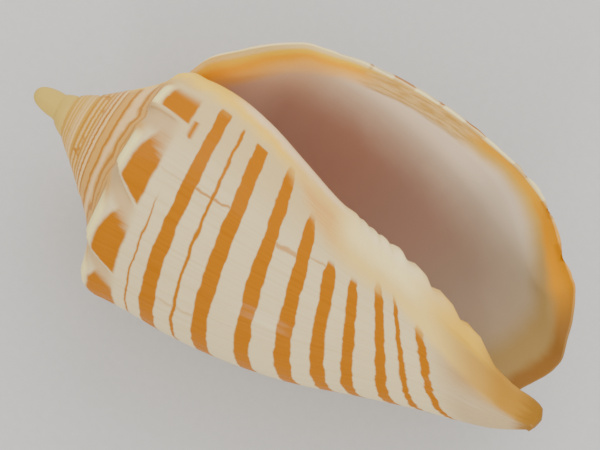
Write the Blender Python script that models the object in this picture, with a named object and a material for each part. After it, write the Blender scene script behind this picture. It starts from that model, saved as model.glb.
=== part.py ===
"""A volute shell: one solid, grown in one piece, lying on its back with the aperture up.

The shell is first worked out in millimetres round its coiling axis.  A place on it is given by
its turn t (0 at the outer lip, -1 one whorl earlier) and by its level s, the distance below the
apex at which a spiral line passes half a turn behind the lip.  Radius and depth grow by a fixed
factor for each turn, as in the living animal.  The solid has an outer skin, a hollow body whorl
that opens at the aperture, and a rolled rim that joins the two.
"""

import math

import bmesh
import bpy
import numpy as np
from mathutils import Matrix

MM = 0.001

# Driving dimensions: millimetres, turns, and degrees round the axis back from the lip.
LENGTH = 76.0
FIRST_TURN = -5.0
SUTURE_RADIUS = 12.0
SUTURE_DEPTH = 15.0
APEX_RADIUS = 1.3
AXIS_LEAN = 0.018
TIP_SHIFT = -0.7
WALL = 1.5

# The outer lip flares near the suture, and its edge runs on past turn 0 at mid height.
LIP_FLARE = 1.7
FLARE_TURNS = 0.20
LIP_REACH = 0.055
LIP_RETREAT = 0.028

# The hollow's corner drops in front of the suture, and its foot meets the canal at the notch.
CORNER_DROP = 2.2
CORNER_SPREAD = 40.0
FOOT_DEPTH = 67.0
NOTCH_AZIMUTH = 165.0
HOLLOW_AZIMUTH = 255.0

# The back, opposite the aperture, is a little flatter, so the shell rests on it.
BACK_FLATTENING = 0.05
BACK_AZIMUTH = 90.0
BACK_WIDTH = 32.0

# Blunt nodules along the shoulder: they stand out from the axis and a little towards the apex.
NODULE_HEIGHT = 1.3
NODULE_OUT = 0.9
NODULE_UP = 0.25
NODULE_GROWTH = 2.2
NODULE_SPACING = 38.6
NODULE_PHASE = 190.0

# Lying at rest: degrees about the X axis, then about the Y axis, and the flat it rests on.
ROLL = 6.0
PITCH = -4.4
REST_FLAT = 0.35

# Growth for each turn: the radius and the depth along the suture and over the body whorl.
RADIUS_GROWTH_SUTURE = math.exp(0.60)
RADIUS_GROWTH_BODY = 2.36
DEPTH_GROWTH_SUTURE = math.exp(0.36)
DEPTH_GROWTH_SHOULDER = 1.72
DEPTH_GROWTH_BODY = 1.75
HOLLOW_RADIUS_GROWTH = 2.1
HOLLOW_DEPTH_GROWTH = 1.6

# Mesh density.
COLUMNS = 54
STRIP_ROWS = 4
BODY_ROWS = 10
CANAL_ROWS = 4
DOME_ROWS = 4

# Levels where the strips of skin meet, and where the spiral lines start to draw in to the tip.
SUTURE_LEVEL = SUTURE_DEPTH * DEPTH_GROWTH_SUTURE ** -0.5
NEXT_SUTURE_LEVEL = SUTURE_DEPTH * DEPTH_GROWTH_SHOULDER ** 0.5
CANAL_LEVEL = 66.0
TIP_LEVEL = 62.0


def ease(start, end, value):
    """0 before start, 1 after end, and a smooth step between them."""
    share = np.clip((value - start) / (end - start), 0.0, 1.0)
    return share * share * (3.0 - 2.0 * share)


def smooth_curve(points):
    """A smooth function through hand-set points (x, y)."""
    x, y = np.array(points, float).T
    slope = np.gradient(y, x)

    def value(at):
        at = np.clip(at, x[0], x[-1])
        k = np.clip(np.searchsorted(x, at) - 1, 0, len(x) - 2)
        span = x[k + 1] - x[k]
        f = (at - x[k]) / span
        rise = y[k + 1] - y[k]
        bend = f * (1 - f) * ((1 - f) * (slope[k] * span - rise) - f * (slope[k + 1] * span - rise))
        return y[k] + rise * f + bend

    return value


def suture(turn):
    """Radius and depth of the line where each whorl meets the one before it."""
    radius = np.hypot(SUTURE_RADIUS * RADIUS_GROWTH_SUTURE**turn, APEX_RADIUS)
    return radius, SUTURE_DEPTH * DEPTH_GROWTH_SUTURE**turn


def depth_growth(level):
    """Growth in depth for each turn: slow at the suture, none at the tip, where all lines meet."""
    shoulder = DEPTH_GROWTH_SHOULDER - DEPTH_GROWTH_SUTURE
    body = DEPTH_GROWTH_BODY - DEPTH_GROWTH_SHOULDER
    growth = DEPTH_GROWTH_SUTURE + shoulder * ease(SUTURE_LEVEL, NEXT_SUTURE_LEVEL, level)
    growth = growth + body * ease(NEXT_SUTURE_LEVEL, 30.0, level)
    return growth - (DEPTH_GROWTH_BODY - 1.0) * ease(TIP_LEVEL, LENGTH, level)


def radius_growth(level):
    """Growth in radius for each turn, larger on the body whorl than along the suture."""
    step = RADIUS_GROWTH_BODY - RADIUS_GROWTH_SUTURE
    return RADIUS_GROWTH_SUTURE + step * ease(NEXT_SUTURE_LEVEL, 36.0, level)


# Outline of the body whorl half a turn behind the lip: level, radius.
outline = smooth_curve(
    [
        (SUTURE_LEVEL, suture(-0.5)[0]),
        (15.2, 10.8),
        (17.4, 13.2),
        (NEXT_SUTURE_LEVEL, suture(0.0)[0] * radius_growth(NEXT_SUTURE_LEVEL) ** 0.5),
        (23.0, 17.05),
        (27.0, 17.1),
        (35.5, 16.3),
        (41.5, 15.1),
        (46.8, 13.5),
        (55.0, 10.1),
        (60.0, 8.2),
        (65.0, 6.45),
        (68.3, 5.8),
        (71.0, 5.0),
        (73.3, 3.4),
        (75.0, 2.1),
        (75.7, 1.4),
        (LENGTH, 0.0),
    ]
)

# The wall of the last whorl but one and the columella, where the aperture shows them: depth, radius.
columella = smooth_curve(
    [
        (suture(-1.0)[1], suture(-1.0)[0]),
        (12.3, 8.4),
        (13.8, 10.2),
        (SUTURE_DEPTH, suture(0.0)[0]),
        (18.0, 13.0),
        (21.5, 13.3),
        (27.8, 12.5),
        (33.5, 10.9),
        (39.7, 9.1),
        (44.6, 8.1),
        (51.4, 6.7),
        (55.8, 5.6),
        (60.8, 4.1),
        (64.2, 3.1),
        (67.1, 2.2),
        (71.2, 1.7),
        (74.2, 1.7),
        (75.5, 1.1),
        (LENGTH, 0.0),
    ]
)

# Back of the columella's end, seen in the canal: depth, radius.
canal_back = smooth_curve(
    [(40.0, 3.2), (50.0, 2.7), (60.0, 2.1), (68.0, 1.8), (73.0, 1.6), (75.3, 1.0), (LENGTH, 0.0)]
)

# Front edge of the body whorl under the lip and round to the notch: azimuth, level.
front_edge = smooth_curve(
    [
        (0.0, 55.0),
        (12.0, 58.0),
        (27.0, 59.6),
        (50.0, 60.4),
        (80.0, 61.2),
        (115.0, 62.5),
        (NOTCH_AZIMUTH, CANAL_LEVEL),
    ]
)


def nodules(level, turn):
    """Height of the blunt knobs along the shoulder, smaller on each earlier whorl."""
    azimuth = -360.0 * turn
    wave = np.cos(math.pi * (azimuth - NODULE_PHASE) / NODULE_SPACING) ** 2
    across = ease(15.6, 18.2, level) * (1.0 - ease(18.6, 23.0, level))
    early = 1.0 - ease(-0.76, -0.92, turn)
    share = (level - SUTURE_LEVEL) / (NEXT_SUTURE_LEVEL - SUTURE_LEVEL)
    within = np.clip(4.0 * share * (1.0 - share), 0.0, 1.0)
    size = NODULE_HEIGHT * NODULE_GROWTH ** (turn + 0.5) * (1.0 - ease(-0.07, -0.02, turn))
    return size * wave * across * (early + (1.0 - early) * within)


def body_skin(level, turn):
    """Radius and depth of the body whorl's outer skin."""
    depth = level * depth_growth(level) ** (turn + 0.5)
    radius = outline(level) * radius_growth(level) ** (turn + 0.5)
    flare = ease(-FLARE_TURNS, 0.0, turn) * ease(SUTURE_LEVEL, 14.2, level) * (1.0 - ease(17.0, 27.0, level))
    radius = radius + LIP_FLARE * flare
    depth = depth - 0.6 * LIP_FLARE * flare
    from_back = (360.0 * turn + BACK_AZIMUTH) / BACK_WIDTH
    radius = radius * (1.0 - BACK_FLATTENING * np.exp(-(from_back**2)))
    glaze = ease(-0.70, -0.93, turn)
    radius = radius * (1.0 - glaze) + columella(depth) * glaze
    knob = nodules(level, turn)
    return radius + NODULE_OUT * knob, depth - NODULE_UP * knob


def spire_skin(share, turn):
    """Radius and depth between one suture (share 0) and the next (share 1)."""
    level = SUTURE_LEVEL + (NEXT_SUTURE_LEVEL - SUTURE_LEVEL) * share
    body_radius, body_depth = body_skin(level, np.maximum(turn, -1.0))
    last_radius, last_depth = body_skin(level, np.full_like(turn, -1.0))
    knob = nodules(level, np.full_like(turn, -1.0))
    last_radius = last_radius - NODULE_OUT * knob
    last_depth = last_depth + NODULE_UP * knob
    upper_radius, upper_depth = suture(-1.0)
    lower_radius, lower_depth = suture(0.0)
    radius_share = (last_radius - upper_radius) / (lower_radius - upper_radius)
    depth_share = (last_depth - upper_depth) / (lower_depth - upper_depth)
    radius, depth = suture(turn)
    next_radius, next_depth = suture(turn + 1.0)
    knob = nodules(level, turn)
    early_radius = radius + (next_radius - radius) * radius_share + NODULE_OUT * knob
    early_depth = depth + (next_depth - depth) * depth_share - NODULE_UP * knob
    early = turn < -1.0
    return np.where(early, early_radius, body_radius), np.where(early, early_depth, body_depth)


def lip_turn(level):
    """How far the lip's edge runs on past turn 0 at each level."""
    reach = LIP_REACH * ease(SUTURE_LEVEL, 30.0, level) * (1.0 - ease(38.0, 50.0, level))
    return reach - LIP_RETREAT * ease(46.0, 53.5, level)


def place(radius, depth, turn):
    """A point in millimetres: X towards the tip, Y towards the lip, Z out of the aperture."""
    azimuth = -2.0 * math.pi * turn
    across = radius * np.cos(azimuth) + TIP_SHIFT * ease(TIP_LEVEL, LENGTH, depth)
    return np.stack([depth + AXIS_LEAN * across, across, -radius * np.sin(azimuth)], axis=-1)


def column_turn(column, level):
    """Turn of a mesh column, pulled to the lip's edge near the aperture."""
    azimuth = 360.0 * column / COLUMNS
    return -azimuth / 360.0 + lip_turn(level) * (1.0 - ease(0.0, 70.0, azimuth))


def skin_patch(levels, columns, skin):
    """Grid of points (row, column) on the outer skin, with its section normals turned inward."""
    turn = column_turn(columns, levels)
    radius, depth = skin(levels, turn)
    along = np.stack([np.gradient(radius, axis=0), np.gradient(depth, axis=0)])
    along = along / np.maximum(np.linalg.norm(along, axis=0), 1e-9)
    return {"radius": radius, "depth": depth, "turn": turn, "inward": (-along[1], along[0])}


def strip_skin():
    """The ramp from suture to suture, from the lip back to the first whorl."""
    count = int(-FIRST_TURN * COLUMNS)
    share, columns = np.meshgrid(
        np.linspace(0.0, 1.0, STRIP_ROWS + 1), np.arange(count + 1.0), indexing="ij"
    )
    share = 1.0 - (1.0 - share) * np.clip(count / COLUMNS - columns / COLUMNS, 0.0, 1.0)
    level = SUTURE_LEVEL + (NEXT_SUTURE_LEVEL - SUTURE_LEVEL) * share
    turn = column_turn(columns, level)
    radius, depth = spire_skin(share, turn)
    return radius, depth, turn


def body_levels(columns):
    """Levels of the body whorl's rows, from the next suture to the front edge."""
    share = np.linspace(0.0, 1.0, BODY_ROWS + 1)[:, None]
    edge = front_edge(360.0 * columns / COLUMNS)[None, :]
    return NEXT_SUTURE_LEVEL + (edge - NEXT_SUTURE_LEVEL) * share


def canal_levels():
    """Levels of the canal's rows, closer together at the tip."""
    share = np.linspace(0.0, 1.0, CANAL_ROWS + 1)
    return CANAL_LEVEL + (LENGTH - CANAL_LEVEL) * (1.0 - (1.0 - share) ** 1.3)


def hollow_wall(depth, azimuth):
    """Radius of the hollow's inner side: the whorl before, then the columella and its end."""
    turned = azimuth / 360.0
    whorl = columella(depth * HOLLOW_DEPTH_GROWTH**turned) * HOLLOW_RADIUS_GROWTH**-turned
    pillar = canal_back(depth) * ease(0.0, 50.0, azimuth)
    return (whorl**4 + pillar**4) ** 0.25


def hollow_outer(columns):
    """The inner side of the outer wall: the outer skin moved in by the wall's thickness."""
    share = np.linspace(0.0, 1.0, STRIP_ROWS + 1)[:, None]
    strip_levels = SUTURE_LEVEL + (NEXT_SUTURE_LEVEL - SUTURE_LEVEL) * share + 0.0 * columns[None, :]
    levels = np.concatenate([strip_levels, body_levels(columns)[1:]])
    skin = skin_patch(levels, np.broadcast_to(columns, levels.shape), body_skin)
    taper = ease(SUTURE_LEVEL, SUTURE_LEVEL + 3.5, levels)
    radius = skin["radius"] + WALL * skin["inward"][0]
    depth = skin["depth"] + WALL * skin["inward"][1]
    corner_depth, corner_radius = hollow_corner(360.0 * columns / COLUMNS)
    hold = 1.0 - taper
    radius = radius * taper + (corner_radius[None, :] + (skin["radius"] - skin["radius"][:1])) * hold
    depth = depth * taper + (corner_depth[None, :] + (skin["depth"] - skin["depth"][:1])) * hold
    return radius, depth, skin["turn"]


def hollow_corner(azimuth):
    """Where the outer wall meets the whorl before, just in front of the suture."""
    depth = suture(-azimuth / 360.0)[1] + CORNER_DROP * (1.0 - np.exp(-azimuth / CORNER_SPREAD))
    return depth, hollow_wall(depth, azimuth)


def inner_foot(azimuth, first):
    """Depth of the inner side's lower end, which meets the canal's floor past the notch."""
    beyond = np.maximum(azimuth - NOTCH_AZIMUTH, 0.0)
    depth = first + (FOOT_DEPTH - first) * ease(0.0, NOTCH_AZIMUTH, azimuth)
    return depth * HOLLOW_DEPTH_GROWTH ** (-beyond / 360.0)


def hollow_inner(columns, depths):
    """The inner side of the hollow, from its corner down, on the rows of the skin's last column."""
    azimuth = (360.0 * columns / COLUMNS)[None, :]
    share = ((depths - depths[0]) / (depths[-1] - depths[0]))[:, None]
    corner = hollow_corner(azimuth)[0]
    depth = corner + (inner_foot(azimuth, depths[-1]) - corner) * share
    return hollow_wall(depth, azimuth), depth, -azimuth / 360.0 + 0.0 * depth


def canal_inner(columns, depths):
    """The back of the columella's end, from the inner side's foot to the tip."""
    azimuth = (360.0 * columns / COLUMNS)[None, :]
    share = ((depths - depths[0]) / (depths[-1] - depths[0]))[:, None]
    foot = inner_foot(azimuth, depths[0])
    depth = foot + (depths[-1] - foot) * share
    return hollow_wall(depth, azimuth), depth, -azimuth / 360.0 + 0.0 * depth


def dome(radius, depth, turn):
    """Rows from the first whorl's edge up to the apex."""
    angle = np.linspace(0.0, math.pi / 2, DOME_ROWS + 1)[:, None]
    return radius * np.cos(angle) ** 0.75, depth * (1.0 - np.sin(angle)), turn + 0.0 * angle


def rim(outer, inner, outward):
    """A rolled edge between two rows of points."""
    thickness = np.linalg.norm(inner - outer, axis=-1, keepdims=True)
    middle = 0.5 * (outer + inner) + 0.45 * thickness * outward
    return np.stack([outer, middle, inner])


def unit(vectors):
    return vectors / np.maximum(np.linalg.norm(vectors, axis=-1, keepdims=True), 1e-9)


def add_grid(mesh, points):
    """Add a grid of points (row, column) and its faces."""
    rows, columns = points.shape[:2]
    verts = [mesh.verts.new(point * MM) for point in points.reshape(-1, 3)]
    for i in range(rows - 1):
        for j in range(columns - 1):
            k = i * columns + j
            mesh.faces.new((verts[k], verts[k + 1], verts[k + columns + 1], verts[k + columns]))


def shell_grids():
    """Every strip of the shell's surface, as grids of points that meet edge to edge."""
    last = COLUMNS
    notch = round(NOTCH_AZIMUTH / 360.0 * COLUMNS)
    deep = round(HOLLOW_AZIMUTH / 360.0 * COLUMNS)
    turn_columns = np.arange(last + 1.0)
    hollow_columns = np.arange(deep + 1.0)

    strip_radius, strip_depth, strip_turn = strip_skin()
    levels = body_levels(turn_columns)
    body_turn = column_turn(np.broadcast_to(turn_columns, levels.shape), levels)
    body_radius, body_depth = body_skin(levels, body_turn)
    low = canal_levels()[:, None] + 0.0 * turn_columns[None, notch:]
    low_turn = column_turn(turn_columns[None, notch:] + 0.0 * low, low)
    low_radius, low_depth = body_skin(low, low_turn)

    strip = place(strip_radius, strip_depth, strip_turn)
    body = place(body_radius, body_depth, body_turn)
    canal = place(low_radius, low_depth, low_turn)

    outer = place(*hollow_outer(hollow_columns))
    inner = place(*hollow_inner(hollow_columns, body_depth[:, last]))
    back = place(*canal_inner(hollow_columns[: notch + 1], low_depth[:, -1]))

    first = np.s_[0, -(last + 1) :]
    top = dome(strip_radius[first], strip_depth[first], strip_turn[first])

    skin_edge = np.concatenate([strip[:, 0], body[1:, 0]])
    skin_next = np.concatenate([strip[:, 1], body[1:, 1]])
    lip_outward = unit(skin_edge - skin_next)
    front_outward = unit(body[-1] - body[-2])[: notch + 1]
    front_outward = front_outward * (1.0 - ease(notch - 5.0, notch, turn_columns[: notch + 1, None]))
    corner_outward = unit(lip_outward[-1] + front_outward[0])
    lip_outward[-1] = corner_outward
    front_outward[0] = corner_outward
    return [
        strip,
        body,
        canal,
        outer,
        inner,
        back,
        place(*top),
        rim(skin_edge, outer[:, 0], lip_outward),
        rim(body[-1, : notch + 1], outer[-1, : notch + 1], front_outward),
        np.stack([canal[:, 0], back[:, -1]]),
        np.stack([outer[-1, notch:], inner[-1, notch:]]),
    ]


def build_shell():
    """Join the strips into one closed mesh, and lay it on its back with the origin under its middle."""
    mesh = bmesh.new()
    for grid in shell_grids():
        add_grid(mesh, grid)
    bmesh.ops.remove_doubles(mesh, verts=mesh.verts, dist=0.01 * MM)
    open_edges = [edge for edge in mesh.edges if edge.is_boundary]
    bmesh.ops.holes_fill(mesh, edges=open_edges, sides=0)
    bmesh.ops.dissolve_degenerate(mesh, dist=0.002 * MM, edges=mesh.edges)
    bmesh.ops.triangulate(mesh, faces=mesh.faces)
    bmesh.ops.recalc_face_normals(mesh, faces=mesh.faces)
    if mesh.calc_volume(signed=True) < 0.0:
        bmesh.ops.reverse_faces(mesh, faces=mesh.faces)
    rest = Matrix.Rotation(math.radians(PITCH), 4, "Y") @ Matrix.Rotation(math.radians(ROLL), 4, "X")
    mesh.transform(rest)
    ground = min(vert.co.z for vert in mesh.verts) + REST_FLAT * MM
    for vert in mesh.verts:
        vert.co.z = max(vert.co.z, ground)
    corners = np.array([vert.co for vert in mesh.verts])
    lowest, highest = corners.min(axis=0), corners.max(axis=0)
    middle = (lowest + highest) / 2.0
    mesh.transform(Matrix.Translation((-middle[0], -middle[1], -lowest[2])))
    data = bpy.data.meshes.new("shell")
    mesh.to_mesh(data)
    mesh.free()
    return data


def glazed_shell():
    """Cream and orange porcelain-like shell."""
    material = bpy.data.materials.new("glazed_shell")
    material.use_nodes = True
    shader = material.node_tree.nodes["Principled BSDF"]
    shader.inputs["Base Color"].default_value = (0.86, 0.62, 0.36, 1.0)
    shader.inputs["Roughness"].default_value = 0.28
    shader.inputs["Metallic"].default_value = 0.0
    return material


def main():
    for item in list(bpy.data.objects):
        bpy.data.objects.remove(item, do_unlink=True)
    collection = bpy.data.collections.new("volute_shell")
    bpy.context.scene.collection.children.link(collection)
    shell = bpy.data.objects.new("shell", build_shell())
    shell.data.materials.append(glazed_shell())
    shell.data.shade_smooth()
    collection.objects.link(shell)


main()
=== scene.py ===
"""The looks of the volute shell: its fine surface, its colours and glaze, the floor and the light.

The shell is worked out in millimetres round its coiling axis.  A place on it is given by its turn
(0 at the outer lip, -1 one whorl earlier) and by its level, the distance below the apex at which
a spiral line passes half a turn behind the lip.  Colour bands keep their level, and growth lines
keep their turn.  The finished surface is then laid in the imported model's box.
"""

import math
from collections import namedtuple

import bmesh
import bpy
import numpy as np
from mathutils import Matrix, Vector


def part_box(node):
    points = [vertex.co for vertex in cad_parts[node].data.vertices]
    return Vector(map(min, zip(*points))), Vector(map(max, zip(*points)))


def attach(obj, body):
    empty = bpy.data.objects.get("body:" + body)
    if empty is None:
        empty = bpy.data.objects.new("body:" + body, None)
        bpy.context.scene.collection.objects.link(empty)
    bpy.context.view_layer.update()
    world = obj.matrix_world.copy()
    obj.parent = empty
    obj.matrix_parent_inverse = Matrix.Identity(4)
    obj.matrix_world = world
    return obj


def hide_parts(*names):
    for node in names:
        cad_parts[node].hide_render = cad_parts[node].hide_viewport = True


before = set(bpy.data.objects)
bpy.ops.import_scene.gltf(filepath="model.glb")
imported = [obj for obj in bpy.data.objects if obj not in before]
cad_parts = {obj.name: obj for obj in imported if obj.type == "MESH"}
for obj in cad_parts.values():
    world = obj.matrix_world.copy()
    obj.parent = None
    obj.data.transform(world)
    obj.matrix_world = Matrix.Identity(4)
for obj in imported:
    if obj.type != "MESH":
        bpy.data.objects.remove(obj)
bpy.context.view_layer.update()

MM = 0.001

# ---------------------------------------------------------------------------- driving dimensions

# Millimetres, turns, and degrees round the axis back from the lip.  A pair is a span: where
# something starts to change, and where it has changed in full.
LENGTH = 76.0
FIRST_TURN = -5.0
SUTURE_RADIUS = 12.0
SUTURE_DEPTH = 15.0
APEX_RADIUS = 1.3
AXIS_LEAN = 0.018
TIP_SHIFT = -0.7
WALL = 1.5

# The outer lip flares over this share of a turn, and near the suture its edge is lifted as well.
FLARE_TURNS = 0.20
FLARE_LIFT = 0.6
FLARE_LIFT_END = (20.0, 30.0)

# The lip's edge runs on past turn 0 at mid height, and falls short of it in front.  The mesh's
# columns follow the edge less and less up to the last of these azimuths.
LIP_REACH = 0.055
LIP_REACH_LEVEL = 30.0
LIP_REACH_END = (38.0, 50.0)
LIP_RETREAT = 0.028
LIP_RETREAT_START = (46.0, 53.5)
LIP_COLUMNS_END = 70.0

# Scallops bitten into the lip's edge: their depth, how much deeper they are in front, and how
# far back from the edge they are felt.
SCALLOP_DEPTH = 0.15
SCALLOP_DEEPENING = 0.50
SCALLOP_FRONT = (40.0, 46.0)
SCALLOP_TURNS = 0.03

# The wall: thin at the lip's edge, thickest a little way in, then even.
EDGE_WALL = 0.35
SWELL_WALL = 0.9
SWELL_AZIMUTH = 16.0
EVEN_AZIMUTH = 60.0
FRONT_SWELL = 4.5
FRONT_SWELL_END = (100.0, 150.0)

# Rows of the wall's inner side are evened out this often, from a little way in from the lip.
EVENING_PASSES = 40
EVENING_START = (4.0, 24.0)

# The hollow's corner drops in front of the suture, and the wall curves away from it over this
# height.
CORNER_DROP = 3.0
CORNER_SPREAD = 28.0
CORNER_HEIGHT = 3.5

# The hollow's foot meets the canal at the notch, and the hollow ends at the second azimuth.
FOOT_DEPTH = 67.0
NOTCH_AZIMUTH = 165.0
HOLLOW_AZIMUTH = 255.0

# Azimuths over which the columella's back takes shape, and the inner lip becomes the inside.
PILLAR_START = (0.0, 50.0)
INSIDE_START = (0.0, 30.0)

# The back, opposite the aperture, is a little flatter.
BACK_FLATTENING = 0.05
BACK_AZIMUTH = 90.0
BACK_WIDTH = 32.0

# Growth lines stand up this far, in full from this level on.
GROWTH_RELIEF = 0.045
GROWTH_RELIEF_LEVEL = 17.0

# Blunt nodules along the shoulder, steep above and on the side that grew last.
NODULE_HEIGHT = 1.05
NODULE_OUT = 0.85
NODULE_UP = 0.55
NODULE_GROWTH = 1.3
NODULE_SPACING = 37.5
NODULE_PHASE = 187.0

# A nodule falls away and rises over shares of the spacing, and spans these levels and turns.
NODULE_FALL = (0.0, 0.78)
NODULE_RISE = (0.88, 1.0)
NODULE_TOP = (18.0, 19.0)
NODULE_FOOT = (19.3, 25.5)
FIRST_NODULE = (-0.97, -0.86)
LAST_NODULE = (-0.09, -0.03)

# Its crest slants by so many degrees for each millimetre down, except close to the inner lip.
NODULE_SLANT = 2.6
NODULE_SLANT_LEVEL = 20.0
NODULE_SLANT_END = (294.0, 276.0)

# A shallow groove runs above the nodules.
GROOVE_DEPTH = 0.16
GROOVE_LEVEL = 17.7
GROOVE_WIDTH = 0.6

# Each early whorl swells a little between its sutures, and not at all at the apex.
WHORL_SWELL = 0.42
WHORL_SWELL_START = (-1.0, -1.15)
WHORL_SWELL_END = (-3.2, -4.8)

# The last suture is drawn in, about half a turn behind the lip.
SUTURE_DIP = 0.75
SUTURE_DIP_START = (-1.0, -0.6)
SUTURE_DIP_END = (-0.45, -0.12)
SUTURE_DIP_LEVEL = 17.5

# The body whorl laps over the suture with a low, rounded fold.
FOLD_HEIGHT = 0.22
FOLD_ROUNDING = 0.3
FOLD_FOOT = (14.0, 16.5)
FOLD_START = (-1.0, -0.9)
FOLD_END = (-0.08, -0.01)

# Pleats on the columella: their height, and the depths of their crests.
PLEAT_HEIGHT = 1.0
PLEAT_CRESTS = (42.4, 43.9, 45.4, 47.0, 49.2, 52.8, 57.5, 62.9, 69.0)
PLEAT_ROUNDNESS = 0.7

# The first pleats have this share of the full height.  All fade out round the body whorl.
PLEAT_FIRST = 0.3
PLEAT_START = (40.5, 43.0)
PLEAT_FULL = (44.0, 51.0)
PLEAT_END = (62.0, 69.0)
PLEAT_OUTER_START = (-46.0, -10.0)

# The callus of the inner lip: its thickness, how it comes on in degrees past its edge, and how
# it thins out again at the lip.
CALLUS_THICKNESS = 0.10
CALLUS_START = (-6.0, 10.0)
CALLUS_END = (340.0, 360.0)

# Turns over which the body whorl's skin goes over into the columella.
COLUMELLA_START = (-0.70, -0.93)

# Lying at rest: degrees about the X axis, then about the Y axis, and the flat it rests on.
ROLL = 6.0
PITCH = -4.4
REST_FLAT = 0.35

# Growth for each turn: the radius and the depth along the suture and over the body whorl.
RADIUS_GROWTH_SUTURE = math.exp(0.60)
RADIUS_GROWTH_BODY = 2.36
DEPTH_GROWTH_SUTURE = math.exp(0.36)
DEPTH_GROWTH_SHOULDER = 1.72
DEPTH_GROWTH_BODY = 1.75
HOLLOW_RADIUS_GROWTH = 2.1
HOLLOW_DEPTH_GROWTH = 1.6

# Levels at which growth reaches the body whorl's: in depth, and in radius.
BODY_DEPTH_LEVEL = 30.0
BODY_RADIUS_LEVEL = 36.0

# Mesh density.
COLUMNS = 300
STRIP_ROWS = 12
BODY_ROWS = 80
CANAL_ROWS = 18
CANAL_CROWDING = 1.3
DOME_ROWS = 8
DOME_BLUNTNESS = 0.75
RIM_ROWS = 6
RIM_FADE = 0.1

# Points closer than the first are welded, slivers thinner than the second are dissolved, and
# all points further along than the third are drawn together at the canal's tip.
WELD_DISTANCE = 0.01
SLIVER_WIDTH = 0.002
CANAL_POINT = 75.95

# Edges that turn by more degrees than this are shaded as sharp.
SHARP_ANGLE = 50.0

# Levels where the strips of skin meet, and where the spiral lines start to draw in to the tip.
SUTURE_LEVEL = SUTURE_DEPTH * DEPTH_GROWTH_SUTURE ** -0.5
NEXT_SUTURE_LEVEL = SUTURE_DEPTH * DEPTH_GROWTH_SHOULDER ** 0.5
CANAL_LEVEL = 66.0
TIP_LEVEL = 62.0


# ------------------------------------------------------------------------------- shell geometry


def ease(start, end, value):
    """0 before start, 1 after end, and a smooth step between them."""
    share = np.clip((value - start) / (end - start), 0.0, 1.0)
    return share * share * (3.0 - 2.0 * share)


def smooth_curve(points):
    """A smooth function through given points (x, y)."""
    x, y = np.array(points, float).T
    slope = np.gradient(y, x)

    def value(at):
        at = np.clip(at, x[0], x[-1])
        k = np.clip(np.searchsorted(x, at) - 1, 0, len(x) - 2)
        span = x[k + 1] - x[k]
        f = (at - x[k]) / span
        rise = y[k + 1] - y[k]
        bend = f * (1 - f) * ((1 - f) * (slope[k] * span - rise) - f * (slope[k + 1] * span - rise))
        return y[k] + rise * f + bend

    return value


def suture(turn):
    """Radius and depth of the line where each whorl meets the one before it."""
    radius = np.hypot(SUTURE_RADIUS * RADIUS_GROWTH_SUTURE**turn, APEX_RADIUS)
    return radius - suture_dip(turn), SUTURE_DEPTH * DEPTH_GROWTH_SUTURE**turn


def suture_dip(turn):
    """How far the last suture is drawn in, about half a turn behind the lip."""
    return SUTURE_DIP * ease(*SUTURE_DIP_START, turn) * (1.0 - ease(*SUTURE_DIP_END, turn))


def depth_growth(level):
    """Growth in depth for each turn: slow at the suture, none at the tip, where all lines meet."""
    shoulder = DEPTH_GROWTH_SHOULDER - DEPTH_GROWTH_SUTURE
    body = DEPTH_GROWTH_BODY - DEPTH_GROWTH_SHOULDER
    growth = DEPTH_GROWTH_SUTURE + shoulder * ease(SUTURE_LEVEL, NEXT_SUTURE_LEVEL, level)
    growth = growth + body * ease(NEXT_SUTURE_LEVEL, BODY_DEPTH_LEVEL, level)
    return growth - (DEPTH_GROWTH_BODY - 1.0) * ease(TIP_LEVEL, LENGTH, level)


def radius_growth(level):
    """Growth in radius for each turn, larger on the body whorl than along the suture."""
    step = RADIUS_GROWTH_BODY - RADIUS_GROWTH_SUTURE
    return RADIUS_GROWTH_SUTURE + step * ease(NEXT_SUTURE_LEVEL, BODY_RADIUS_LEVEL, level)


# Outline of the body whorl half a turn behind the lip: level, radius.
outline = smooth_curve(
    [
        (SUTURE_LEVEL, SUTURE_RADIUS * RADIUS_GROWTH_SUTURE**-0.5),
        (15.2, 10.8),
        (17.4, 13.2),
        (NEXT_SUTURE_LEVEL, suture(0.0)[0] * radius_growth(NEXT_SUTURE_LEVEL) ** 0.5),
        (23.0, 17.05),
        (27.0, 17.1),
        (35.5, 16.3),
        (41.5, 15.1),
        (46.8, 13.6),
        (55.0, 10.25),
        (60.0, 8.3),
        (65.0, 6.45),
        (68.3, 5.3),
        (71.0, 4.25),
        (73.3, 3.0),
        (75.0, 1.9),
        (75.7, 1.4),
        (LENGTH, 0.0),
    ]
)

# The wall of the last whorl but one and the columella, where the aperture shows them: depth, radius.
columella = smooth_curve(
    [
        (suture(-1.0)[1], suture(-1.0)[0]),
        (12.3, 8.4),
        (13.8, 10.2),
        (SUTURE_DEPTH, suture(0.0)[0]),
        (18.0, 13.0),
        (21.5, 13.3),
        (27.8, 12.5),
        (33.5, 10.9),
        (39.7, 9.1),
        (44.6, 8.1),
        (51.4, 6.7),
        (55.8, 5.6),
        (60.8, 4.1),
        (64.2, 3.1),
        (67.1, 2.2),
        (71.2, 1.7),
        (74.2, 1.7),
        (75.5, 1.1),
        (LENGTH, 0.0),
    ]
)

# Back of the columella's end, seen in the canal: depth, radius.
canal_back = smooth_curve(
    [(40.0, 3.2), (50.0, 2.7), (60.0, 2.1), (68.0, 1.8), (73.0, 1.6), (75.3, 1.0), (LENGTH, 0.0)]
)

# Front edge of the body whorl under the lip and round to the notch: azimuth, level.
front_edge = smooth_curve(
    [
        (0.0, 53.2),
        (6.0, 55.1),
        (12.0, 56.8),
        (20.0, 58.2),
        (30.0, 59.5),
        (50.0, 61.1),
        (80.0, 62.0),
        (115.0, 63.0),
        (NOTCH_AZIMUTH, CANAL_LEVEL),
    ]
)

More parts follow.
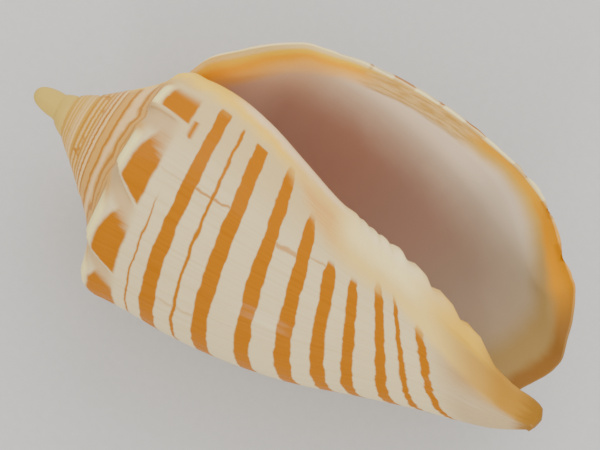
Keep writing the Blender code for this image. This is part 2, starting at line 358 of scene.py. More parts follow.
# How far the lip's edge flares out: level, millimetres.
lip_flare = smooth_curve(
    [
        (SUTURE_LEVEL, 0.0),
        (14.2, 1.8),
        (16.4, 2.4),
        (17.8, 2.2),
        (19.4, 1.2),
        (20.8, 0.75),
        (22.5, 0.85),
        (25.0, 0.9),
        (27.0, 0.8),
        (30.0, 0.4),
        (34.0, 0.15),
        (37.0, 0.35),
        (41.0, 0.75),
        (45.0, 1.15),
        (48.5, 1.4),
        (51.5, 1.4),
        (53.2, 1.3),
        (55.0, 1.9),
        (57.0, 0.3),
        (59.0, -2.0),
        (61.5, -1.3),
        (65.0, 0.0),
        (LENGTH, 0.0),
    ]
)

# Number of each pleat's crest against its depth on the columella.
pleat_number = smooth_curve([(depth, number) for number, depth in enumerate(PLEAT_CRESTS)])

# Where the callus of the inner lip begins on the body whorl: level, azimuth.
callus_edge = smooth_curve(
    [
        (SUTURE_LEVEL, 330.0),
        (22.0, 324.0),
        (38.0, 321.0),
        (44.0, 314.0),
        (48.0, 298.0),
        (52.0, 286.0),
        (58.0, 284.0),
        (62.0, 290.0),
        (66.0, 275.0),
        (70.0, 240.0),
        (LENGTH, 215.0),
    ]
)


def nodule_share(level, azimuth):
    """Share of the way from one nodule's crest to the next: the crests slant down and forward."""
    slant = NODULE_SLANT * (level - NODULE_SLANT_LEVEL) * ease(*NODULE_SLANT_END, azimuth)
    return ((azimuth + slant - NODULE_PHASE) / NODULE_SPACING) % 1.0


def nodules(level, turn):
    """Height of the blunt knobs along the shoulder of the last whorl."""
    share = nodule_share(level, -360.0 * turn)
    wave = 1.0 - ease(*NODULE_FALL, share) + ease(*NODULE_RISE, share)
    across = ease(*NODULE_TOP, level) * (1.0 - ease(*NODULE_FOOT, level))
    across = across - GROOVE_DEPTH * np.exp(-(((level - GROOVE_LEVEL) / GROOVE_WIDTH) ** 2))
    ends = (1.0 - ease(*LAST_NODULE, turn)) * ease(*FIRST_NODULE, turn)
    return NODULE_HEIGHT * NODULE_GROWTH ** (turn + 0.5) * wave * across * ends


def pleats(depth, beyond):
    """Height of the columella's pleats at a depth, so many degrees beyond the inner lip's edge.

    Each pleat is a rounded ridge that winds down the columella, with a narrow groove on each side.
    """
    turned = beyond / 360.0
    along = depth * HOLLOW_DEPTH_GROWTH**turned
    ridge = np.abs(np.cos(math.pi * pleat_number(along))) ** PLEAT_ROUNDNESS
    full = PLEAT_FIRST + (1.0 - PLEAT_FIRST) * ease(*PLEAT_FULL, along)
    lengthwise = ease(*PLEAT_START, along) * full * (1.0 - ease(*PLEAT_END, along))
    outer_fade = ease(*PLEAT_OUTER_START, beyond)
    return PLEAT_HEIGHT * ridge * lengthwise * outer_fade * HOLLOW_RADIUS_GROWTH**-turned


def growth_relief(turn, level):
    """Low ridges left along earlier edges of the lip, of lengths that don't fit each other."""
    phase = 360.0 * turn + 1.6 * np.sin(0.23 * level) + 0.9 * np.sin(0.61 * level)
    ridges = 0.45 * np.sin(0.71 * phase) + 0.35 * np.sin(1.63 * phase + 1.1)
    ridges = ridges + 0.20 * np.sin(2.9 * phase + 0.4 * np.sin(0.37 * phase))
    return GROWTH_RELIEF * ridges * ease(SUTURE_LEVEL, GROWTH_RELIEF_LEVEL, level)


def body_skin(level, turn, knobs=1.0):
    """Radius and depth of the body whorl's outer skin, with or without its knobs."""
    depth = level * depth_growth(level) ** (turn + 0.5)
    radius = outline(level) * radius_growth(level) ** (turn + 0.5)
    flare = lip_flare(level) * ease(-FLARE_TURNS, 0.0, turn)
    dip = suture_dip(turn) * (1.0 - ease(SUTURE_LEVEL, SUTURE_DIP_LEVEL, level))
    radius = radius + flare - dip
    depth = depth - FLARE_LIFT * flare * (1.0 - ease(*FLARE_LIFT_END, level))
    from_back = (360.0 * turn + BACK_AZIMUTH) / BACK_WIDTH
    radius = radius * (1.0 - BACK_FLATTENING * np.exp(-(from_back**2)))
    inner = ease(*COLUMELLA_START, turn)
    radius = radius * (1.0 - inner) + columella(depth) * inner
    knob = nodules(level, turn) * knobs
    return radius + NODULE_OUT * knob, depth - NODULE_UP * knob


def scallops(level):
    """Small bites along the lip's edge."""
    bite = np.abs(np.sin(0.80 * level + 0.5 * np.sin(0.33 * level)))
    size = SCALLOP_DEPTH + SCALLOP_DEEPENING * ease(*SCALLOP_FRONT, level)
    return -size * (1.0 - bite) ** 2 + 0.05 * np.sin(2.3 * level)


def fine_body_skin(level, turn):
    """The body whorl's outer skin with growth lines, the callus's thin edge and the pleats."""
    radius, depth = body_skin(level, turn)
    azimuth = -360.0 * turn
    on_callus = ease(*CALLUS_START, azimuth - callus_edge(level))
    radius = radius + growth_relief(turn, level) * (1.0 - on_callus) + CALLUS_THICKNESS * on_callus
    fold = FOLD_HEIGHT * (1.0 - np.exp(-(level - SUTURE_LEVEL) / FOLD_ROUNDING))
    fold = fold * (1.0 - ease(*FOLD_FOOT, level))
    radius = radius + fold * (1.0 - ease(*FOLD_END, turn)) * ease(*FOLD_START, turn)
    radius = radius + scallops(level) * ease(-SCALLOP_TURNS, 0.0, turn - lip_turn(level))
    thinned = CALLUS_THICKNESS * ease(*CALLUS_END, azimuth)
    return radius + pleats(depth, azimuth - 360.0) - thinned, depth


def ramp_level(share):
    """Level at a share of the way from one suture (0) to the next (1)."""
    return SUTURE_LEVEL + (NEXT_SUTURE_LEVEL - SUTURE_LEVEL) * share


def ramp_share(level):
    """Share of the way from one suture (0) to the next (1) at a level, also in shader maths."""
    return (level - SUTURE_LEVEL) / (NEXT_SUTURE_LEVEL - SUTURE_LEVEL)


def spire_skin(share, turn):
    """Radius and depth between one suture (share 0) and the next (share 1)."""
    level = ramp_level(share)
    body_radius, body_depth = fine_body_skin(level, np.maximum(turn, -1.0))
    last_radius, last_depth = body_skin(level, np.full_like(turn, -1.0))
    upper_radius, upper_depth = suture(-1.0)
    lower_radius, lower_depth = suture(0.0)
    radius_share = (last_radius - upper_radius) / (lower_radius - upper_radius)
    depth_share = (last_depth - upper_depth) / (lower_depth - upper_depth)
    radius, depth = suture(turn)
    next_radius, next_depth = suture(turn + 1.0)
    swell = WHORL_SWELL * ease(*WHORL_SWELL_START, turn) * (1.0 - ease(*WHORL_SWELL_END, turn))
    swell = swell * (4.0 * share * (1.0 - share)) ** 0.5
    early_radius = radius + (next_radius - radius) * radius_share + swell
    early_depth = depth + (next_depth - depth) * depth_share
    early = turn < -1.0
    return np.where(early, early_radius, body_radius), np.where(early, early_depth, body_depth)


def lip_turn(level):
    """How far the lip's edge runs on past turn 0 at each level."""
    reach = LIP_REACH * ease(SUTURE_LEVEL, LIP_REACH_LEVEL, level)
    reach = reach * (1.0 - ease(*LIP_REACH_END, level))
    return reach - LIP_RETREAT * ease(*LIP_RETREAT_START, level)


def place(radius, depth, turn):
    """A point in millimetres: X towards the tip, Y towards the lip, Z out of the aperture."""
    azimuth = -2.0 * math.pi * turn
    across = radius * np.cos(azimuth) + TIP_SHIFT * ease(TIP_LEVEL, LENGTH, depth)
    return np.stack([depth + AXIS_LEAN * across, across, -radius * np.sin(azimuth)], axis=-1)


def column_turn(column, level):
    """Turn of a mesh column, pulled to the lip's edge near the aperture."""
    azimuth = 360.0 * column / COLUMNS
    return -azimuth / 360.0 + lip_turn(level) * (1.0 - ease(0.0, LIP_COLUMNS_END, azimuth))


def body_levels(columns):
    """Levels of the body whorl's rows, from the next suture to the front edge."""
    share = np.linspace(0.0, 1.0, BODY_ROWS + 1)[:, None]
    edge = front_edge(360.0 * columns / COLUMNS)[None, :]
    return NEXT_SUTURE_LEVEL + (edge - NEXT_SUTURE_LEVEL) * share


def canal_levels():
    """Levels of the canal's rows, closer together at the tip."""
    share = np.linspace(0.0, 1.0, CANAL_ROWS + 1)
    return CANAL_LEVEL + (LENGTH - CANAL_LEVEL) * (1.0 - (1.0 - share) ** CANAL_CROWDING)


def hollow_wall(depth, azimuth):
    """Radius of the hollow's inner side: a rounded maximum of the whorl before and the pillar."""
    turned = azimuth / 360.0
    whorl = columella(depth * HOLLOW_DEPTH_GROWTH**turned) * HOLLOW_RADIUS_GROWTH**-turned
    pillar = canal_back(depth) * ease(*PILLAR_START, azimuth)
    return (whorl**4 + pillar**4) ** 0.25 + pleats(depth, azimuth)


def hollow_corner(azimuth):
    """Where the outer wall meets the whorl before, just in front of the suture."""
    depth = suture(-azimuth / 360.0)[1] + CORNER_DROP * (1.0 - np.exp(-azimuth / CORNER_SPREAD))
    return depth, hollow_wall(depth, azimuth)


def inner_foot(azimuth, first):
    """Depth of the inner side's lower end, which meets the canal's floor past the notch."""
    beyond = np.maximum(azimuth - NOTCH_AZIMUTH, 0.0)
    depth = first + (FOOT_DEPTH - first) * ease(0.0, NOTCH_AZIMUTH, azimuth)
    return depth * HOLLOW_DEPTH_GROWTH ** (-beyond / 360.0)


# --------------------------------------------------------------------------------- mesh patches

# Every patch is a grid of points with the same marks at each point: the turn and the level, the
# distance in millimetres in from the lip's edge, and 1 on the inside of the shell.
MARKS = ("turn", "level", "from_lip", "inside")
Patch = namedtuple("Patch", ("points", "marks"))

# The distance given to places far from the lip.
FAR_IN = 12.0

# Marks of the two seams that close the wall, in the canal and deep in the hollow.
SEAM_TURN = -1.5
CANAL_SEAM_LEVEL = 70.0
HOLLOW_SEAM_LEVEL = 66.0


def patch(points, turn, level, from_lip=0.0, inside=0.0):
    """A grid of points (row, column) with its marks."""
    shape = points.shape[:2]
    marks = {"turn": turn, "level": level, "from_lip": from_lip, "inside": inside}
    return Patch(points, {name: np.broadcast_to(marks[name], shape) for name in MARKS})


def strip_patch():
    """The ramp from suture to suture, from the lip back to the first whorl."""
    count = int(-FIRST_TURN * COLUMNS)
    share, columns = np.meshgrid(
        np.linspace(0.0, 1.0, STRIP_ROWS + 1), np.arange(count + 1.0), indexing="ij"
    )
    share = 1.0 - (1.0 - share) * np.clip((count - columns) / COLUMNS, 0.0, 1.0)
    level = ramp_level(share)
    turn = column_turn(columns, level)
    return patch(place(*spire_skin(share, turn), turn), turn, level)


def body_patch():
    """The body whorl from the suture's level to its front edge, once round from the lip."""
    columns = np.arange(COLUMNS + 1.0)
    level = body_levels(columns)
    turn = column_turn(columns[None, :], level)
    return patch(place(*fine_body_skin(level, turn), turn), turn, level)


def canal_patch(notch):
    """The outer skin of the canal, from the notch round to the columella."""
    columns = np.arange(notch, COLUMNS + 1.0)[None, :]
    level = canal_levels()[:, None] + 0.0 * columns
    turn = column_turn(columns, level)
    return patch(place(*fine_body_skin(level, turn), turn), turn, level)


def lip_distance(points):
    """Distance along the surface from the first column or the last row, whichever is nearer.

    The nearer one is picked by a rounded minimum, so that there is no crease at the corner.
    """
    steps = np.linalg.norm(np.diff(points, axis=1), axis=-1)
    from_side = np.concatenate([np.zeros((len(points), 1)), np.cumsum(steps, axis=1)], axis=1)
    steps = np.linalg.norm(np.diff(points[::-1], axis=0), axis=-1)
    from_front = np.concatenate([np.zeros((1, points.shape[1])), np.cumsum(steps, axis=0)])[::-1]
    sharpness = 3.0
    return (from_side**-sharpness + from_front**-sharpness) ** (-1.0 / sharpness)


def even_rows(values, azimuth):
    """Values evened out from row to row, apart from the first and last rows and the lip's edge."""
    even = values.copy()
    for _ in range(EVENING_PASSES):
        even[1:-1] = 0.25 * even[:-2] + 0.5 * even[1:-1] + 0.25 * even[2:]
    share = ease(*EVENING_START, azimuth)
    return even * share + values * (1.0 - share)


def wall_thickness(level, azimuth):
    """Thickness of the outer wall: thin at the lip and at the front edge."""
    from_front = front_edge(azimuth)[None, :] - level
    near_front = 1.0 - ease(0.0, FRONT_SWELL, from_front)
    near_front = near_front * (1.0 - ease(*FRONT_SWELL_END, azimuth))
    wall = EDGE_WALL + (WALL + SWELL_WALL - EDGE_WALL) * ease(0.0, SWELL_AZIMUTH, azimuth)
    wall = wall - SWELL_WALL * ease(SWELL_AZIMUTH, EVEN_AZIMUTH, azimuth)
    return wall + (EDGE_WALL - wall) * near_front


def outer_wall_patch(columns):
    """The inner side of the outer wall: the outer skin moved in by the wall's thickness."""
    azimuth = 360.0 * columns / COLUMNS
    share = np.linspace(0.0, 1.0, STRIP_ROWS + 1)[:, None]
    strip_levels = ramp_level(share) + 0.0 * columns[None, :]
    level = np.concatenate([strip_levels, body_levels(columns)[1:]])
    turn = column_turn(columns[None, :], level)
    skin_radius, skin_depth = body_skin(level, turn, 0.0)
    along = np.stack([np.gradient(skin_radius, axis=0), np.gradient(skin_depth, axis=0)])
    along = along / np.maximum(np.linalg.norm(along, axis=0), 1e-9)
    hold = 1.0 - ease(SUTURE_LEVEL, SUTURE_LEVEL + CORNER_HEIGHT, level)
    corner_depth, corner_radius = hollow_corner(azimuth)
    held_radius = corner_radius[None, :] + skin_radius - skin_radius[:1]
    held_depth = corner_depth[None, :] + skin_depth - skin_depth[:1]
    wall = wall_thickness(level, azimuth)
    radius = (skin_radius - wall * along[1]) * (1.0 - hold) + held_radius * hold
    depth = (skin_depth + wall * along[0]) * (1.0 - hold) + held_depth * hold
    points = place(even_rows(radius, azimuth), even_rows(depth, azimuth), turn)
    with np.errstate(divide="ignore"):
        from_lip = lip_distance(points)
    return patch(points, turn, level, from_lip, 1.0)


def inner_patch(azimuth, top, bottom, depths, levels):
    """Part of the hollow's inner side, from its top depth to its bottom depth at each azimuth.

    Its rows are spaced like the depths of the skin that it meets at the inner lip's edge.
    """
    share = ((depths - depths[0]) / (depths[-1] - depths[0]))[:, None]
    depth = top + (bottom - top) * share
    turn = -azimuth / 360.0 + 0.0 * depth
    points = place(hollow_wall(depth, azimuth), depth, turn)
    return patch(points, turn - 1.0, levels[:, None], FAR_IN, ease(*INSIDE_START, azimuth))


def inner_wall_patch(columns, depths, levels):
    """The inner side of the hollow, from its corner down to the foot of the columella."""
    azimuth = (360.0 * columns / COLUMNS)[None, :]
    corner = hollow_corner(azimuth)[0]
    return inner_patch(azimuth, corner, inner_foot(azimuth, depths[-1]), depths, levels)


def canal_floor_patch(columns, depths, levels):
    """The back of the columella's end, from the inner side's foot to the tip."""
    azimuth = (360.0 * columns / COLUMNS)[None, :]
    return inner_patch(azimuth, inner_foot(azimuth, depths[0]), depths[-1], depths, levels)


def dome_patch(edge):
    """Rows from the first whorl's edge up to the apex."""
    radius, depth, turn = edge
    angle = np.linspace(0.0, math.pi / 2, DOME_ROWS + 1)[:, None]
    turn = turn + 0.0 * angle
    points = place(radius * np.cos(angle) ** DOME_BLUNTNESS, depth * (1.0 - np.sin(angle)), turn)
    return patch(points, turn, SUTURE_LEVEL)


def rim_patch(outer, inner, outward, turn, level):
    """A rolled edge between two rows of points."""
    angle = np.linspace(0.0, math.pi, RIM_ROWS + 1)[:, None, None]
    middle = 0.5 * (outer + inner)
    half = 0.5 * np.linalg.norm(inner - outer, axis=-1, keepdims=True)
    points = middle + 0.5 * (outer - inner) * np.cos(angle) + half * outward * np.sin(angle)
    return patch(points, turn, level, 0.0, np.linspace(0.0, 1.0, RIM_ROWS + 1)[:, None])


def unit(vectors):
    """Vectors cut or stretched to length 1."""
    return vectors / np.maximum(np.linalg.norm(vectors, axis=-1, keepdims=True), 1e-9)


def inner_edge(skin):
    """Depths and levels down the last column of an outer patch, one whorl behind the lip."""
    level = skin.marks["level"][:, -1]
    return body_skin(level, np.full_like(level, -1.0))[1], level


def rim_patches(strip, body, outer, notch, notch_columns):
    """The rolled edges of the lip and of the front, which share their outward way at the corner."""
    skin = np.concatenate([strip.points[:, :2], body.points[1:, :2]])
    skin_turn = np.concatenate([strip.marks["turn"][:, 0], body.marks["turn"][1:, 0]])
    skin_level = np.concatenate([strip.marks["level"][:, 0], body.marks["level"][1:, 0]])
    lip_outward = unit(skin[:, 0] - skin[:, 1])
    front_outward = unit(body.points[-1] - body.points[-2])[: notch + 1]
    fade = ease(notch - RIM_FADE * notch, notch, notch_columns[:, None])
    front_outward = front_outward * (1.0 - fade)
    corner = unit(lip_outward[-1] + front_outward[0])
    lip_outward[-1] = corner
    front_outward[0] = corner
    lip = rim_patch(skin[:, 0], outer.points[:, 0], lip_outward, skin_turn, skin_level)
    edge = np.s_[-1, : notch + 1]
    edge_turn = body.marks["turn"][edge]
    edge_level = body.marks["level"][edge]
    front = rim_patch(body.points[edge], outer.points[edge], front_outward, edge_turn, edge_level)
    return [lip, front]


def first_edge(strip):
    """Radius, depth and turn round the first whorl's edge, where the dome of the apex begins."""
    edge = np.s_[0, -(COLUMNS + 1) :]
    turn = strip.marks["turn"][edge]
    return (*spire_skin(ramp_share(strip.marks["level"][edge]), turn), turn)


def seam_patch(outer, inner, level):
    """A strip between two rows of points, where the wall ends out of sight."""
    return patch(np.stack([outer, inner]), SEAM_TURN, level, FAR_IN, 1.0)


def shell_patches():
    """Every strip of the shell's surface, as grids that meet edge to edge."""
    notch = round(NOTCH_AZIMUTH / 360.0 * COLUMNS)
    deep = round(HOLLOW_AZIMUTH / 360.0 * COLUMNS)
    hollow_columns = np.arange(deep + 1.0)
    notch_columns = hollow_columns[: notch + 1]

    strip = strip_patch()
    body = body_patch()
    canal = canal_patch(notch)
    outer = outer_wall_patch(hollow_columns)
    inner = inner_wall_patch(hollow_columns, *inner_edge(body))
    floor = canal_floor_patch(notch_columns, *inner_edge(canal))
    return [
        strip,
        body,
        canal,
        outer,
        inner,
        floor,
        dome_patch(first_edge(strip)),
        *rim_patches(strip, body, outer, notch, notch_columns),
        seam_patch(canal.points[:, 0], floor.points[:, -1], CANAL_SEAM_LEVEL),
        seam_patch(outer.points[-1, notch:], inner.points[-1, notch:], HOLLOW_SEAM_LEVEL),
    ]


def join_patches(patches):
    """One closed mesh, in millimetres, with the marks kept on its face corners."""
    points = []
    faces = []
    marks = {name: [] for name in MARKS}
    start = 0
    for grid, grid_marks in patches:
        rows, columns = grid.shape[:2]
        index = start + np.arange(rows * columns).reshape(rows, columns)
        quads = np.stack([index[:-1, :-1], index[:-1, 1:], index[1:, 1:], index[1:, :-1]], axis=-1)
        points.append(grid.reshape(-1, 3))
        faces.append(quads.reshape(-1, 4))
        for name in MARKS:
            marks[name].append(grid_marks[name].ravel())
        start += rows * columns
    faces = np.concatenate(faces)
    mesh = bpy.data.meshes.new("shell_surface")
    mesh.from_pydata(np.concatenate(points).tolist(), [], faces.tolist())
    for name in MARKS:
        values = np.concatenate(marks[name])[faces.ravel()]
        mesh.attributes.new(name, "FLOAT", "CORNER").data.foreach_set("value", values.astype(np.float32))
    weld(mesh)
    return mesh


def weld(mesh):
    """Join the patches where they meet, close what is left open and turn all faces outwards."""
    surface = bmesh.new()
    surface.from_mesh(mesh)
    tip = [vert for vert in surface.verts if vert.co.x > CANAL_POINT]
    furthest = max(tip, key=lambda vert: vert.co.x).co.copy()
    bmesh.ops.pointmerge(surface, verts=tip, merge_co=furthest)
    bmesh.ops.remove_doubles(surface, verts=surface.verts, dist=WELD_DISTANCE)
    open_edges = [edge for edge in surface.edges if edge.is_boundary]
    bmesh.ops.holes_fill(surface, edges=open_edges, sides=0)
    bmesh.ops.dissolve_degenerate(surface, dist=SLIVER_WIDTH, edges=surface.edges)
    bmesh.ops.recalc_face_normals(surface, faces=surface.faces)
    if surface.calc_volume(signed=True) < 0.0:
        bmesh.ops.reverse_faces(surface, faces=surface.faces)
    surface.to_mesh(mesh)
    surface.free()


def lay_in_box(mesh, box):
    """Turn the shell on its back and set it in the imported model's box.  Returns the whole motion."""
    rest = Matrix.Rotation(math.radians(PITCH), 4, "Y") @ Matrix.Rotation(math.radians(ROLL), 4, "X")
    mesh.transform(rest)
    corners = np.empty(len(mesh.vertices) * 3)
    mesh.vertices.foreach_get("co", corners)
    corners = corners.reshape(-1, 3)
    ground = corners[:, 2].min() + REST_FLAT
    corners[:, 2] = np.maximum(corners[:, 2], ground)
    mesh.vertices.foreach_set("co", corners.ravel())
    lowest, highest = corners.min(axis=0), corners.max(axis=0)
    low, high = np.array(box[0]), np.array(box[1])
    scale = (high[0] - low[0]) / (highest[0] - lowest[0])
    middle = (lowest + highest) / 2.0
    target = (low + high) / 2.0
    shift = Vector((target[0] - scale * middle[0], target[1] - scale * middle[1], low[2] - scale * ground))
    motion = Matrix.Translation(shift) @ Matrix.Scale(scale, 4)
    mesh.transform(motion)
    return motion @ rest


# ------------------------------------------------------------------------------- shader writing

# Sockets of a Mix node that take two colours and give the mixed one.
MIX_FIRST = 6
MIX_SECOND = 7
MIX_RESULT = 2


class Signal:
    """The output of a node, which takes part in ordinary arithmetic."""

    def __init__(self, graph, socket):
        self.graph = graph
        self.socket = socket

    def __add__(self, other):
        return self.graph.math("ADD", self, other)

    def __sub__(self, other):
        return self.graph.math("SUBTRACT", self, other)

    def __rsub__(self, other):
        return self.graph.math("SUBTRACT", other, self)

    def __mul__(self, other):
        return self.graph.math("MULTIPLY", self, other)

    def __truediv__(self, other):
        return self.graph.math("DIVIDE", self, other)

    def __rtruediv__(self, other):
        return self.graph.math("DIVIDE", other, self)

    __radd__ = __add__
    __rmul__ = __mul__


class Graph:
    """Writes one material's nodes."""

    def __init__(self, name):
        self.material = bpy.data.materials.new(name)
        self.material.use_nodes = True
        self.tree = self.material.node_tree
        self.shader = self.tree.nodes["Principled BSDF"]

    def make(self, kind, settings=None, sockets=None, output=0):
        """Add a node of any kind: its settings first, then the values or links of its sockets."""
        node = self.tree.nodes.new(kind)
        for name, value in (settings or {}).items():
            if name == "stops":
                self.set_stops(node.color_ramp, value)
            else:
                setattr(node, name, value)
        for name, value in (sockets or {}).items():
            self.feed(node.inputs[name], value)
        return Signal(self, node.outputs[output])

    def set_stops(self, ramp, stops):
        """Give a colour ramp its stops: a position and a colour for each."""
        while len(ramp.elements) < len(stops):
            ramp.elements.new(1.0)
        for element, (position, colour) in zip(ramp.elements, stops):
            element.position = position
            element.color = (*colour, 1.0)

    def feed(self, socket, value):
        """Link a signal to a socket, or set the socket to a number, vector or colour."""
        if isinstance(value, Signal):
            self.tree.links.new(value.socket, socket)
        elif socket.type == "RGBA":
            socket.default_value = (*value, 1.0)
        else:
            socket.default_value = value

    def math(self, operation, *values):
        """One step of arithmetic on signals and numbers."""
        return self.make("ShaderNodeMath", {"operation": operation}, dict(enumerate(values)))

    def mark(self, name):
        """A number kept on the mesh."""
        return self.make("ShaderNodeAttribute", {"attribute_name": name}, output="Fac")

    def vector(self, x, y, z):
        """A vector from three numbers or signals."""
        return self.make("ShaderNodeCombineXYZ", None, {"X": x, "Y": y, "Z": z})

    def noise(self, place, scale, detail, roughness=0.5):
        """Soft noise from 0 to 1 with its middle at one half."""
        sockets = {"Vector": place, "Scale": scale, "Detail": detail, "Roughness": roughness}
        return self.make("ShaderNodeTexNoise", None, sockets)

    def step(self, start, end, value):
        """0 at start, 1 at end, smooth between, whichever of the two is larger."""
        settings = {"interpolation_type": "SMOOTHSTEP"}
        sockets = {"Value": value, "From Min": start, "From Max": end}
        return self.make("ShaderNodeMapRange", settings, sockets)

    def blend(self, share, first, second):
        """First colour where share is 0, second where it is 1."""
        sockets = {"Factor": share, MIX_FIRST: first, MIX_SECOND: second}
        return self.make("ShaderNodeMix", {"data_type": "RGBA"}, sockets, output=MIX_RESULT)

    def along(self, value, colour, *changes):
        """A colour that changes along a value: each change has a start, an end and a new colour."""
        for start, end, new in changes:
            colour = self.blend(self.step(start, end, value), colour, new)
        return colour

    def curve(self, value, low, high, points):
        """A smooth function of a value, through given points (value, result)."""
        results = [result for _, result in points]
        bottom, top = min(results), max(results)
        stops = []
        for at, result in points:
            grey = (result - bottom) / (top - bottom)
            stops.append(((at - low) / (high - low), (grey, grey, grey)))
        share = (value - low) / (high - low)
        ramp = self.make("ShaderNodeValToRGB", {"stops": stops}, {"Fac": share})
        return ramp * (top - bottom) + bottom


# ------------------------------------------------------------------------------------- colours

# Of the outside, from the body whorl's ground to the canal's tip.
WHITE = (0.74, 0.59, 0.31)
CREAM = (0.54, 0.39, 0.17)
WARM_CREAM = (0.68, 0.49, 0.21)
ORANGE = (0.44, 0.145, 0.0)
DEEP_ORANGE = (0.37, 0.11, 0.0)
BRIGHT_ORANGE = (0.48, 0.155, 0.0)
CROWN_WHITE = (0.95, 0.8, 0.33)
RAMP_TAN = (0.68, 0.36, 0.08)
VALLEY_PINK = (0.6, 0.4, 0.18)
VALLEY_SHADE = (0.42, 0.22, 0.07)
STRIPE_PINK = (0.86, 0.55, 0.23)
SPIRE_CREAM = (0.66, 0.36, 0.05)
SPIRE_PINK = (0.8, 0.52, 0.2)
APEX_CREAM = (0.62, 0.43, 0.09)
CALLUS_CREAM = (0.82, 0.57, 0.16)
CALLUS_YELLOW = (0.98, 0.62, 0.06)
PORCELAIN = (0.98, 0.76, 0.45)
BLUSH = (0.7, 0.37, 0.1)
BEAD_WHITE = (0.96, 0.84, 0.48)
BEAD_CREAM = (0.96, 0.78, 0.34)
STAIN_YELLOW = (0.8, 0.46, 0.02)
CANAL_PINK = (0.50, 0.34, 0.17)
FASCIOLE = (0.43, 0.2, 0.02)
TIP_BROWN = (0.29, 0.13, 0.015)

# Of the inside, from the lip's edge to the depth of the hollow.
LIP_WHITE = (0.96, 0.8, 0.38)
LIP_FRINGE = (0.98, 0.62, 0.02)
LIP_YELLOW = (0.98, 0.45, 0.0)
LIP_GOLD = (0.8, 0.38, 0.01)
LIP_ORANGE = (0.68, 0.27, 0.0)
LIP_BROWN = (0.27, 0.125, 0.03)
PEACH = (0.95, 0.52, 0.12)
GOLDEN_TAN = (0.68, 0.41, 0.08)
LIP_TAN = (0.36, 0.23, 0.08)
INNER_PEACH = (0.84, 0.6, 0.4)
INNER_WHITE = (0.92, 0.76, 0.57)
INNER_CREAM = (0.68, 0.56, 0.42)
INNER_TAN = (0.48, 0.38, 0.24)
PALE_ROSE = (0.74, 0.50, 0.38)
ROSE = (0.6, 0.35, 0.26)
ROSE_BROWN = (0.57, 0.31, 0.225)
MAUVE = (0.52, 0.32, 0.245)
TAUPE = (0.46, 0.335, 0.245)
OLIVE = (0.39, 0.285, 0.16)
WORN_TAN = (0.56, 0.33, 0.08)
WORN_PALE = (0.76, 0.53, 0.22)
WORN_EDGE = (0.50, 0.32, 0.12)

# ------------------------------------------------------------------------- where the marks are

# A pair is a span: where a change starts and where it is complete.  A triple is a zone: its
# middle, its half width and the softness of its edges.  A zone or span named for a share is in
# shares of the nodules' spacing, counted from one crest to the next.

# Orange bands of the body whorl: level, half width, azimuth where it ends, length of its fade.
BANDS = (
    (25.8, 0.15, 256.0, 24.0),
    (28.85, 1.02, 322.0, 6.0),
    (32.5, 0.24, 319.0, 8.0),
    (36.2, 1.08, 319.0, 3.0),
    (41.9, 1.02, 323.0, 20.0),
    (47.1, 1.03, 300.0, 26.0),
    (51.4, 0.92, 280.0, 14.0),
    (55.3, 0.80, 279.0, 16.0),
    (59.6, 0.74, 293.0, 24.0),
    (62.5, 0.38, 292.0, 22.0),
    (65.3, 0.46, 280.0, 20.0),
)

# A band's soft edge, how far it wavers and how ragged it is, and the share of its width that it
# loses towards its end: so much for each degree of its fade, up to a limit.
BAND_EDGE = 0.13
BAND_WAVER = 0.8
BAND_RAGGEDNESS = 0.10
BAND_SLIMMING = 0.03
BAND_SLIMMING_LIMIT = 0.7

# The lower bands sag by a millimetre on the back, and none reaches the front edge near the lip.
SAG_AZIMUTH = (240.0, 168.0)
SAG_LEVELS = (58.0, 5.0, 3.0)
PLAIN_FRONT_AZIMUTH = (45.0, 75.0)
PLAIN_FRONT_LEVEL = (58.0, 56.5)

# Orange growth marks between bands: azimuth, half width, first level, last level, strength.
LINKS = (
    (273.5, 0.7, 29.5, 35.5, 0.80),
    (273.0, 0.5, 24.0, 29.0, 0.25),
    (214.0, 0.6, 29.5, 35.5, 0.40),
    (272.0, 1.6, 42.5, 46.5, 0.60),
    (277.0, 0.6, 47.5, 51.5, 0.60),
    (299.0, 5.0, 25.3, 26.1, 1.00),
    (98.0, 0.8, 29.5, 36.0, 0.70),
    (37.0, 0.7, 42.0, 47.0, 0.60),
    (140.0, 0.9, 47.0, 51.5, 0.60),
    (66.0, 0.6, 36.5, 41.5, 0.50),
)
LINK_WAVER = 5.0
LINK_EDGE = 0.7
LINK_END = 0.4

# The orange patch on each nodule: its two sides, its arched top and its foot, which is lower on
# the last nodule before the inner lip.
PATCH_STEEP_SHARE = (-0.01, 0.035)
PATCH_SLOPING_SHARE = (0.80, 0.56)
PATCH_ARCH_SHARE = 0.22
PATCH_ARCH = 4.5
PATCH_TOP = (20.15, 20.65)
PATCH_FOOT = (24.15, 23.65)
PATCH_LONGER = 0.9
PATCH_LONGER_AZIMUTH = (288.0, 300.0)
PATCH_END = (322.0, 312.0)

# The whitish crown of each nodule, and the painted shadow lines above it and down its steep side, where
# shade falls.
CROWN_SHARE = (0.24, 0.26, 0.10)
CROWN_LEVELS = (19.25, 0.85, 0.4)
CROWN_END = (330.0, 315.0)
ABOVE_SHARE = (0.26, 0.28, 0.08)
ABOVE_LEVELS = (17.85, 0.14, 0.16)
BESIDE_SHARE = (0.945, 0.014, 0.022)
BESIDE_LEVELS = (20.8, 2.3, 0.8)
SHADOW_END = (325.0, 310.0)

